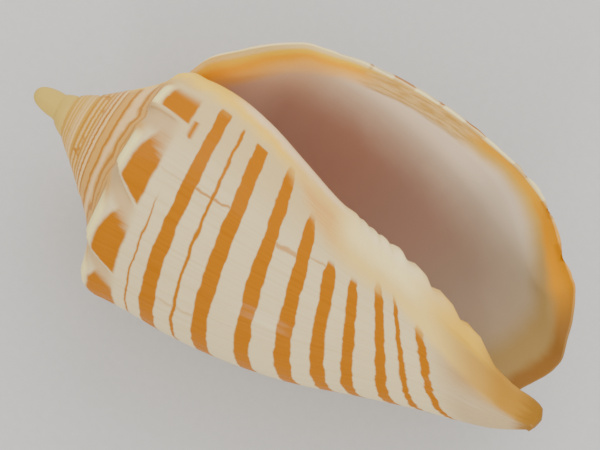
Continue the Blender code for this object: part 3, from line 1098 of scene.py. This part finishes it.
# The ramp from the suture to the nodules.  Its stripes dip between nodules and drift down
# towards the inner lip.
RAMP_LEVEL = (20.6, 18.4)
RAMP_DIP = 0.8
RAMP_DIP_SHARE = (0.80, 0.10, 0.20)
RAMP_DIP_LEVEL = (14.5, 17.0)
RAMP_DRIFT = 0.7
RAMP_DRIFT_AZIMUTH = (262.0, 292.0)
RAMP_DRIFT_LEVEL = (14.6, 16.0)
RAMP_STRIPE = (15.0, 0.40, 0.25)
RAMP_VALLEY_SHARE = (0.84, 0.16, 0.08)
RAMP_VALLEY_LEVEL = (16.6, 17.8)

# Thin orange lines of the ramp: level, half width, strength.
RAMP_LINES = ((12.75, 0.12, 0.55), (14.1, 0.22, 0.80), (16.0, 0.26, 0.75), (17.1, 0.16, 0.50))
RAMP_LINE_EDGE = 0.12

# The early whorls: past this turn and above this level, just under the next suture.
EARLY_TURN = (-0.99, -1.0)
EARLY_LEVEL = (19.72, 19.69)
OLDER_TURN = (-1.7, -2.5)
APEX_TURN = (-2.2, -4.2)

# Their thin orange lines: share from suture to suture, half width, strength.
SPIRE_LINES = (
    (0.13, 0.04, 0.60),
    (0.34, 0.035, 0.65),
    (0.54, 0.035, 0.70),
    (0.70, 0.035, 0.85),
    (0.87, 0.04, 1.00),
)
SPIRE_LINE_EDGE = 0.04

# Their pink lower part, pale lines and blotches, in shares from suture to suture as well.
SPIRE_PINK_SHARE = (0.50, 0.75)
PALE_LINES = ((0.24, 0.03, 0.04), (0.44, 0.03, 0.04))
BLOTCH_SHARE = (0.42, 0.28, 0.12)
BLOTCH_NOISE = (0.57, 0.67)

# The body whorl's ground: its growth streaks, and where it turns warm and pink.
STREAK_GROWTH = (0.42, 0.80)
STREAK_GRAIN = (0.45, 0.75)
WARM_AZIMUTH = (276.0, 306.0)
CANAL_PINK_LEVEL = (64.0, 69.0)
VALLEY_SHARE = (0.83, 0.15, 0.08)
VALLEY_LEVEL = (24.6, 22.6)
DEEP_GROWTH = (0.40, 0.75)
BRIGHT_AZIMUTH = (255.0, 305.0)

# Azimuth at which the colour of the inner lip's callus begins, by level; then the levels that
# this curve spans, and the degrees over which the colour comes on.
CALLUS_COLOUR_EDGE = (
    (12.5, 332.0),
    (22.0, 325.0),
    (38.0, 322.0),
    (44.0, 316.0),
    (48.0, 299.0),
    (52.0, 287.0),
    (58.0, 285.0),
    (62.0, 292.0),
    (66.0, 272.0),
    (71.0, 240.0),
    (76.0, 215.0),
)
CALLUS_LEVELS = (10.0, 78.0)
CALLUS_EDGE_SPAN = (-7.0, 12.0)

# The callus's own colours, each by azimuth and by level.
YELLOW_AZIMUTH = (316.0, 334.0)
YELLOW_LEVEL = (45.0, 38.0)
PORCELAIN_AZIMUTH = (330.0, 343.0)
PORCELAIN_LEVEL = (27.0, 34.0)
BLUSH_AZIMUTH = (333.0, 318.0)
BLUSH_LEVELS = (47.5, 4.5, 3.0)
BEAD_AZIMUTH = (296.0, 322.0)
BEAD_LEVELS = (60.0, 7.0, 3.0)
BEAD_CREST_AZIMUTH = (322.0, 338.0)
BEAD_CREST_LEVELS = (63.0, 6.5, 2.5)
STAIN_AZIMUTH = (294.0, 314.0)
STAIN_LEVELS = (70.0, 3.0, 3.0)

# The canal's orange end: the glaze, the strip on the outer skin, and the brown tip.
CANAL_END_LEVEL = (70.0, 72.3)
FASCIOLE_AZIMUTH = (275.0, 34.0, 16.0)
FASCIOLE_LEVEL = (66.0, 70.5)
TIP_BROWN_LEVEL = (73.0, 75.0)

# Azimuth at which the pale zone inside the lip starts to darken towards the hollow, by level; then the
# degrees over which it does.  The darkening is partly the inside's own colour and partly painted shade.
SHADE_EDGE = (
    (12.6, 2.0),
    (16.0, 6.0),
    (20.0, 11.0),
    (25.0, 14.0),
    (31.0, 18.0),
    (37.0, 20.0),
    (43.0, 25.0),
    (49.0, 25.0),
    (55.0, 31.0),
    (62.0, 42.0),
)
SHADE_SPAN = (-10.0, 23.0)

# Width of the white edge of the lip, in millimetres, by level; then how soft its border is,
# and the levels that both curves of the lip span.
LIP_WHITE_WIDTH = ((12.0, 1.2), (20.0, 1.5), (38.0, 1.5), (44.0, 1.2), (49.0, -0.4), (64.0, -0.6))
LIP_WHITE_EDGE = (0.7, -0.5)
LIP_LEVELS = (12.0, 64.0)

# Colours inside the lip that change with the level: first and last level of each change.
PALE_CHANGES = ((20.0, 25.0, INNER_WHITE), (37.0, 45.0, INNER_CREAM))
# The deep colours are partly the inside's own rose and olive, partly painted shade of the hollow's depth.
DEEP_CHANGES = (
    (17.0, 21.5, ROSE),
    (22.0, 28.0, ROSE_BROWN),
    (29.0, 39.0, MAUVE),
    (40.0, 50.0, TAUPE),
    (50.0, 58.0, OLIVE),
)
HALO_CHANGES = ((25.0, 32.0, GOLDEN_TAN), (45.0, 53.0, LIP_TAN))
BAND_CHANGES = ((24.0, 32.0, LIP_GOLD), (44.0, 49.0, LIP_ORANGE))
TAN_LEVEL = (45.0, 54.0)

# Distances in from the lip's edge: the halo, the yellow band, which is narrower and brown in
# front, its bright fringe, and the ends of the outer bands that show on the edge.
HALO_DISTANCE = (8.5, 4.6)
BAND_DISTANCE = (5.2, 3.2)
BROWN_LEVEL = (53.0, 58.0)
BROWN_NARROWING = 2.0
FRINGE_DISTANCE = (3.4, 2.0)
FRINGE_LEVEL = (38.0, 26.0)
TICK_DISTANCE = (2.6, 1.2)
TICK_LEVEL = (55.0, 51.0)

# The worn place: its levels, and the distances in from the lip's edge where it starts and ends.
WORN_LEVELS = (31.3, 5.4, 1.4)
WORN_OUTER = (1.2, 2.4)
WORN_INNER = (7.6, 6.8)
WORN_RIM = (7.2, 0.3, 0.5)
WORN_MOTTLE = (0.36, 0.62)

# The outside's colours give way to the inside's over this part of the lip's rolled edge.
EDGE_TURNOVER = (0.05, 0.35)

# The glaze.
SHEEN = 0.02
COAT = 0.08
COAT_ROUGHNESS = 0.18
TRANSLUCENCY = 0.04
GLOW_COLOUR = (1.0, 0.6, 0.35)
GLOW_DEPTH = 0.7 * MM
ROUGHNESS = 0.30
ROUGHNESS_GROWTH = 0.10
ROUGHNESS_WORN = 0.25
GRAIN_HEIGHT = 0.06 * MM
GRAIN_STRENGTH = 0.6


class ShellPaint(Graph):
    """The shell's colours, worked out from the marks on its surface.

    A mark's edge is made uneven by a little of soft or wobble, in the units of what it is added
    to.  A number that multiplies a finished cover is its strength.
    """

    def __init__(self, name):
        super().__init__(name)
        self.turn = self.mark("turn")
        self.level = self.mark("level")
        self.from_lip = self.mark("from_lip")
        self.inside = self.mark("inside")
        self.azimuth = self.turn * -360.0
        self.soft = self.uneven(0.10, 0.45, 0.0, 2.0) - 0.5
        self.wobble = self.uneven(0.42, 0.30, 7.0, 3.0) - 0.5
        self.growth = self.uneven(0.75, 0.05, 3.0, 4.0, 0.6)
        self.grain = self.uneven(3.0, 0.10, 5.0, 3.0, 0.7)
        slant = self.level - NODULE_SLANT_LEVEL
        slant = slant * self.step(*NODULE_SLANT_END, self.azimuth) * NODULE_SLANT
        slanted = self.azimuth + slant - NODULE_PHASE
        self.early = self.step(*EARLY_TURN, self.turn) * self.step(*EARLY_LEVEL, self.level)
        self.share = self.math("FRACT", slanted / NODULE_SPACING)

    def uneven(self, around, down, layer, detail, roughness=0.5):
        """Noise with so many waves to a degree round the shell and to a millimetre down it."""
        place = self.vector(self.azimuth * around, self.level * down, layer)
        return self.noise(place, 1.0, detail, roughness)

    def within(self, value, centre, half_width, softness):
        """1 near a centre, 0 away from it."""
        away = self.math("ABSOLUTE", value - centre)
        return self.step(half_width + softness, half_width - softness, away)

    def most(self, *covers):
        """The strongest of several covers at each place."""
        strongest = covers[0]
        for cover in covers[1:]:
            strongest = self.math("MAXIMUM", strongest, cover)
        return strongest

    def lines(self, value, table, edge):
        """Covers of thin lines, each with its place along a value, half width and strength."""
        return [self.within(value, at, half_width, edge) * strength for at, half_width, strength in table]

    def bands(self):
        """The orange bands that run round the body whorl and fade out at the callus."""
        sag = self.step(*SAG_AZIMUTH, self.azimuth) * self.within(self.level, *SAG_LEVELS)
        level = self.level + self.soft * BAND_WAVER + self.wobble * BAND_RAGGEDNESS + sag
        covers = []
        for centre, half_width, end, fade in BANDS:
            share = self.step(end + fade / 2.0, end - fade / 2.0, self.azimuth)
            slim = min(BAND_SLIMMING_LIMIT, fade * BAND_SLIMMING) * half_width
            band = self.within(level, centre, share * slim + (half_width - slim), BAND_EDGE)
            covers.append(band * self.step(0.0, 0.5, share))
        kept = self.step(*PLAIN_FRONT_AZIMUTH, self.azimuth) + self.step(*PLAIN_FRONT_LEVEL, self.level)
        return self.most(*covers) * self.math("MINIMUM", kept, 1.0)

    def links(self):
        """Short marks along growth lines, from one band to another."""
        azimuth = self.azimuth + self.soft * LINK_WAVER
        covers = []
        for centre, half_width, first, last, strength in LINKS:
            mark = self.within(azimuth, centre, half_width, LINK_EDGE)
            mark = mark * self.within(self.level, (first + last) / 2.0, (last - first) / 2.0, LINK_END)
            covers.append(mark * strength)
        return self.most(*covers)

    def nodule_patches(self):
        """An orange patch on the outer slope of each nodule, cut straight below."""
        share = self.share + (self.growth - 0.5) * 0.22 + self.wobble * 0.12
        steep = self.step(*PATCH_STEEP_SHARE, self.share + self.wobble * 0.05)
        sides = steep * self.step(*PATCH_SLOPING_SHARE, share)
        arch = self.share - PATCH_ARCH_SHARE
        top = self.step(*PATCH_TOP, self.level - arch * arch * PATCH_ARCH + self.soft * 0.8)
        longer = self.step(*PATCH_LONGER_AZIMUTH, self.azimuth) * PATCH_LONGER
        foot = self.step(*PATCH_FOOT, self.level - longer + self.soft * 0.7)
        return sides * top * foot * self.step(*PATCH_END, self.azimuth)

    def crowns(self):
        """The whitish crown of each nodule."""
        crown = self.within(self.share, *CROWN_SHARE) * self.within(self.level, *CROWN_LEVELS)
        return crown * self.step(*CROWN_END, self.azimuth)

    def crown_shadows(self):
        """Painted shadow: thin darker lines above each crown and down its steep side, where shade falls."""
        level = self.level + self.soft * 0.5
        above = self.within(level, *ABOVE_LEVELS) * self.within(self.share, *ABOVE_SHARE)
        beside = self.within(self.share + self.wobble * 0.03, *BESIDE_SHARE)
        beside = beside * self.within(level, *BESIDE_LEVELS)
        return self.most(above, beside) * self.step(*SHADOW_END, self.azimuth)

    def ramp(self):
        """Tan and rose stripes between the suture and the nodules, with thin orange lines."""
        dip = self.within(self.share, *RAMP_DIP_SHARE) * self.step(*RAMP_DIP_LEVEL, self.level)
        drift = self.step(*RAMP_DRIFT_AZIMUTH, self.azimuth) * self.step(*RAMP_DRIFT_LEVEL, self.level)
        level = self.level - dip * RAMP_DIP - drift * RAMP_DRIFT + self.soft * 0.6 + self.wobble * 0.2
        valley = self.within(self.share, *RAMP_VALLEY_SHARE)
        ground = self.blend(self.step(*RAMP_VALLEY_LEVEL, level) * valley, RAMP_TAN, VALLEY_PINK)
        ground = self.blend(self.within(level, *RAMP_STRIPE), ground, STRIPE_PINK)
        return self.blend(self.most(*self.lines(level, RAMP_LINES, RAMP_LINE_EDGE)), ground, ORANGE)

    def early_whorls(self):
        """Orange cream whorls with thin lines and blotches, paler towards the apex."""
        share = ramp_share(self.level) + self.wobble * 0.10
        ground = self.blend(self.step(*SPIRE_PINK_SHARE, share), SPIRE_CREAM, SPIRE_PINK)
        pale = self.most(*[self.within(share, *line) for line in PALE_LINES])
        ground = self.blend(pale * 0.8, ground, STRIPE_PINK)
        blotch = self.noise(self.vector(self.azimuth * 0.045, share * 1.6, 9.0), 1.0, 2.0)
        blotch = self.step(*BLOTCH_NOISE, blotch) * self.within(share, *BLOTCH_SHARE)
        covers = self.lines(share, SPIRE_LINES, SPIRE_LINE_EDGE)
        older = self.step(*OLDER_TURN, self.turn)
        colour = self.blend(self.most(blotch * 0.85, *covers) * (1.0 - older * 0.55), ground, ORANGE)
        return self.blend(self.step(*APEX_TURN, self.turn), colour, APEX_CREAM)

    def outer_skin(self):
        """White ground with its bands, lines and patches."""
        streaks = self.step(*STREAK_GROWTH, self.growth) * 0.45 + self.step(*STREAK_GRAIN, self.grain) * 0.15
        ground = self.blend(streaks, WHITE, CREAM)
        ground = self.blend(self.step(*WARM_AZIMUTH, self.azimuth) * 0.8, ground, WARM_CREAM)
        ground = self.blend(self.step(*CANAL_PINK_LEVEL, self.level) * 0.8, ground, CANAL_PINK)
        valley = self.within(self.share, *VALLEY_SHARE) * self.step(*VALLEY_LEVEL, self.level)
        ground = self.blend(valley, ground, VALLEY_PINK)
        ground = self.blend(self.step(*RAMP_LEVEL, self.level), ground, self.ramp())
        ground = self.blend(self.crowns(), ground, CROWN_WHITE)
        # Painted shade: the crown shadow lines darken the ground towards VALLEY_SHADE.
        ground = self.blend(self.crown_shadows() * 0.7, ground, VALLEY_SHADE)
        orange = self.blend(self.step(*DEEP_GROWTH, self.growth) * 0.7, ORANGE, DEEP_ORANGE)
        orange = self.blend(self.step(*BRIGHT_AZIMUTH, self.azimuth) * 0.8, orange, BRIGHT_ORANGE)
        marks = self.most(self.bands(), self.nodule_patches(), self.links())
        colour = self.blend(marks, ground, orange)
        return self.blend(self.early, colour, self.early_whorls())

    def callus_cover(self):
        """How far the inner lip's glaze covers the skin, from 0 to 1."""
        edge = self.curve(self.level, *CALLUS_LEVELS, CALLUS_COLOUR_EDGE)
        past = self.azimuth - edge + self.soft * 10.0 + self.wobble * 5.0
        return self.step(*CALLUS_EDGE_SPAN, past) * (1.0 - self.early)

    def callus(self):
        """The glaze of the inner lip: yellow, then porcelain at its edge, with creamy pleats."""
        azimuth = self.azimuth + self.soft * 8.0
        yellow = self.step(*YELLOW_AZIMUTH, azimuth) * self.step(*YELLOW_LEVEL, self.level)
        colour = self.blend(yellow, CALLUS_CREAM, CALLUS_YELLOW)
        porcelain = self.step(*PORCELAIN_AZIMUTH, azimuth) * self.step(*PORCELAIN_LEVEL, self.level)
        colour = self.blend(porcelain, colour, PORCELAIN)
        streaks = self.step(0.3, 0.7, self.growth) * 0.5 + 0.5
        blush = self.within(self.level, *BLUSH_LEVELS) * self.step(*BLUSH_AZIMUTH, azimuth)
        colour = self.blend(blush * streaks, colour, BLUSH)
        beads = self.within(self.level, *BEAD_LEVELS) * self.step(*BEAD_AZIMUTH, azimuth)
        colour = self.blend(beads, colour, BEAD_CREAM)
        crests = self.within(self.level, *BEAD_CREST_LEVELS) * self.step(*BEAD_CREST_AZIMUTH, azimuth)
        colour = self.blend(crests * 0.8, colour, BEAD_WHITE)
        stain = self.within(self.level, *STAIN_LEVELS) * self.step(*STAIN_AZIMUTH, azimuth)
        colour = self.blend(stain * 0.9, colour, STAIN_YELLOW)
        return self.blend(self.step(*CANAL_END_LEVEL, self.level) * 0.9, colour, FASCIOLE)

    def fasciole(self):
        """The orange tan stain along the canal's end and at the tip."""
        strip = self.within(self.azimuth + self.soft * 16.0, *FASCIOLE_AZIMUTH)
        return strip * self.step(*FASCIOLE_LEVEL, self.level) * 0.75

    def inner_skin(self):
        """The smooth inside: a white edge, a yellow band and cream, then rose brown or olive deeper in,
        partly painted shade.
        """
        level = self.level
        deep_edge = self.curve(level, *LIP_LEVELS, SHADE_EDGE)
        # Partly painted shade: away from the lip the pale zone gives way to the darker deep colours.
        deep = self.step(*SHADE_SPAN, self.azimuth - deep_edge + self.soft * 6.0)
        pale = self.along(level, INNER_PEACH, *PALE_CHANGES)
        pale = self.blend(self.step(*TAN_LEVEL, level), pale, INNER_TAN)
        colour = self.blend(deep, pale, self.along(level, PALE_ROSE, *DEEP_CHANGES))
        distance = self.from_lip + self.soft * 1.0
        halo = self.along(level, PEACH, *HALO_CHANGES)
        colour = self.blend(self.step(*HALO_DISTANCE, distance), colour, halo)
        band = self.along(level, LIP_YELLOW, *BAND_CHANGES)
        fringe = self.step(*FRINGE_DISTANCE, distance) * self.step(*FRINGE_LEVEL, level)
        band = self.blend(fringe, band, LIP_FRINGE)
        front = self.step(*BROWN_LEVEL, level)
        band = self.blend(front, band, LIP_BROWN)
        cover = self.step(*BAND_DISTANCE, distance + front * BROWN_NARROWING)
        colour = self.blend(cover, colour, band)
        width = self.curve(level, *LIP_LEVELS, LIP_WHITE_WIDTH)
        colour = self.blend(self.step(*LIP_WHITE_EDGE, self.from_lip - width), colour, LIP_WHITE)
        ticks = self.bands() * self.step(*TICK_DISTANCE, self.from_lip) * self.step(*TICK_LEVEL, level)
        return self.blend(ticks * 0.4, colour, ORANGE)

    def worn_patch(self):
        """The dull place on the lip's inner edge: streaked along the lip, with a darker end."""
        along_lip = self.vector(self.from_lip * 1.5, self.level * 0.45, 5.0)
        mottle = self.noise(along_lip, 1.0, 4.0, 0.65)
        spread = self.from_lip + (mottle - 0.5) * 2.0 + self.wobble * 1.0
        ends = self.within(self.level + self.wobble * 2.0, *WORN_LEVELS)
        area = ends * self.step(*WORN_INNER, spread) * self.step(*WORN_OUTER, self.from_lip)
        rim = ends * self.within(spread, *WORN_RIM)
        colour = self.blend(self.step(*WORN_MOTTLE, mottle), WORN_TAN, WORN_PALE)
        return area * self.inside, rim * self.inside, self.blend(rim, colour, WORN_EDGE), mottle


def build_shell_material():
    """Glossy, slightly translucent shell."""
    paint = ShellPaint("glazed_shell")
    cover = paint.callus_cover()
    outside = paint.blend(cover * 0.95, paint.outer_skin(), paint.callus())
    outside = paint.blend(paint.fasciole(), outside, FASCIOLE)
    tip = paint.step(*TIP_BROWN_LEVEL, paint.level + paint.soft * 1.5)
    outside = paint.blend(tip * 0.9, outside, TIP_BROWN)
    worn, worn_rim, worn_colour, mottle = paint.worn_patch()
    inside = paint.blend(paint.most(worn * 0.9, worn_rim * 0.7), paint.inner_skin(), worn_colour)
    colour = paint.blend(paint.step(*EDGE_TURNOVER, paint.inside), outside, inside)
    shader = paint.shader.inputs
    paint.feed(shader["Base Color"], colour)
    roughness = ROUGHNESS + paint.growth * ROUGHNESS_GROWTH + worn * ROUGHNESS_WORN
    paint.feed(shader["Roughness"], roughness)
    skin = (1.0 - cover) * (1.0 - paint.inside)
    bumps = paint.grain * skin + mottle * worn
    height = {"Height": bumps, "Distance": GRAIN_HEIGHT, "Strength": GRAIN_STRENGTH}
    paint.feed(shader["Normal"], paint.make("ShaderNodeBump", None, height))
    shader["Subsurface Weight"].default_value = TRANSLUCENCY
    shader["Subsurface Radius"].default_value = GLOW_COLOUR
    shader["Subsurface Scale"].default_value = GLOW_DEPTH
    shader["Specular IOR Level"].default_value = SHEEN
    shader["Coat Weight"].default_value = COAT
    shader["Coat Roughness"].default_value = COAT_ROUGHNESS
    return paint.material


def build_shell():
    """The shell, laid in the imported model's box."""
    mesh = join_patches(shell_patches())
    motion = lay_in_box(mesh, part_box("shell"))
    mesh.shade_smooth()
    mesh.set_sharp_from_angle(angle=math.radians(SHARP_ANGLE))
    shell = bpy.data.objects.new("volute_shell", mesh)
    bpy.context.scene.collection.objects.link(shell)
    shell.data.materials.append(build_shell_material())
    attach(shell, "root")
    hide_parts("shell")
    return motion


# --------------------------------------------------------------------------- floor, light, camera

# The camera looks down on the aperture, its line of sight tilted a little towards the tip.
CAMERA_DISTANCE = 200.0
CAMERA_TILT = 4.0
CAMERA_TURN = 57.5
CAMERA_TARGET = (37.6, 3.74, 0.0)
FRAME_WIDTH = 75.4
SENSOR_WIDTH = 36.0
CLIP_START = 0.01

# The floor: its side in metres, two greys that its fine grain mixes, and the grain's waves.
FLOOR_SIZE = 4.0
PAPER_DARK = (0.54, 0.54, 0.53)
PAPER_LIGHT = (0.60, 0.60, 0.59)
PAPER_GRAIN = 900.0
PAPER_ROUGHNESS = 0.9

# Soft square lamps: name; metres from the target to the right in the view, up in it and towards
# the camera; side; watts.  A pale sky lights the rest.
LAMPS = (
    ("key", 0.06, 0.16, 0.16, 0.16, 0.28),
    ("low", -0.08, -0.46, 0.24, 0.11, 0.9),
)
SKY_COLOUR = (1.0, 0.98, 0.95, 1.0)
SKY_STRENGTH = 1.3


def build_floor():
    """A plain pale floor."""
    bpy.ops.mesh.primitive_plane_add(size=FLOOR_SIZE)
    floor = bpy.context.object
    floor.name = "floor"
    paint = Graph("pale_floor")
    paper = paint.noise(paint.make("ShaderNodeTexCoord", output="Object"), PAPER_GRAIN, 3.0)
    paint.feed(paint.shader.inputs["Base Color"], paint.blend(paper, PAPER_DARK, PAPER_LIGHT))
    paint.shader.inputs["Roughness"].default_value = PAPER_ROUGHNESS
    floor.data.materials.append(paint.material)


def view_axes(motion):
    """The view's right, up and backward ways, the camera's target and the scale, in the frame."""
    tilt = math.radians(CAMERA_TILT)
    backward = Vector((math.sin(tilt), 0.0, math.cos(tilt)))
    tip = Vector((math.cos(tilt), 0.0, -math.sin(tilt)))
    lip = Vector((0.0, 1.0, 0.0))
    turn = math.radians(CAMERA_TURN)
    right = tip * math.sin(turn) + lip * math.cos(turn)
    up = lip * math.sin(turn) - tip * math.cos(turn)
    scale = motion.to_scale().x
    axes = [(motion.to_3x3() @ axis) / scale for axis in (right, up, backward)]
    return axes, motion @ Vector(CAMERA_TARGET), scale


def build_camera(motion):
    """A camera that frames the shell from in front of its aperture."""
    (right, up, backward), target, scale = view_axes(motion)
    data = bpy.data.cameras.new("camera")
    data.sensor_width = SENSOR_WIDTH
    data.lens = SENSOR_WIDTH * CAMERA_DISTANCE / FRAME_WIDTH
    data.clip_start = CLIP_START
    camera = bpy.data.objects.new("camera", data)
    rotation = Matrix((right, up, backward)).transposed().to_4x4()
    camera.matrix_world = Matrix.Translation(target + backward * CAMERA_DISTANCE * scale) @ rotation
    bpy.context.scene.collection.objects.link(camera)
    bpy.context.scene.camera = camera


def build_lamp(name, offset, target, size, power):
    """A soft square lamp that faces the target."""
    data = bpy.data.lights.new(name, "AREA")
    data.size = size
    data.energy = power
    lamp = bpy.data.objects.new(name, data)
    lamp.location = target + offset
    lamp.rotation_euler = (-offset).to_track_quat("-Z", "Y").to_euler()
    bpy.context.scene.collection.objects.link(lamp)


def build_light(motion):
    """Soft studio light: a large lamp on the lip's side, a small one opposite, and a pale sky."""
    (right, up, backward), target, _ = view_axes(motion)
    for name, across, above, nearer, size, power in LAMPS:
        build_lamp(name, across * right + above * up + nearer * backward, target, size, power)
    world = bpy.data.worlds.new("pale_sky")
    world.use_nodes = True
    background = world.node_tree.nodes["Background"]
    background.inputs["Color"].default_value = SKY_COLOUR
    background.inputs["Strength"].default_value = SKY_STRENGTH
    bpy.context.scene.world = world


motion = build_shell()
build_floor()
build_camera(motion)
build_light(motion)
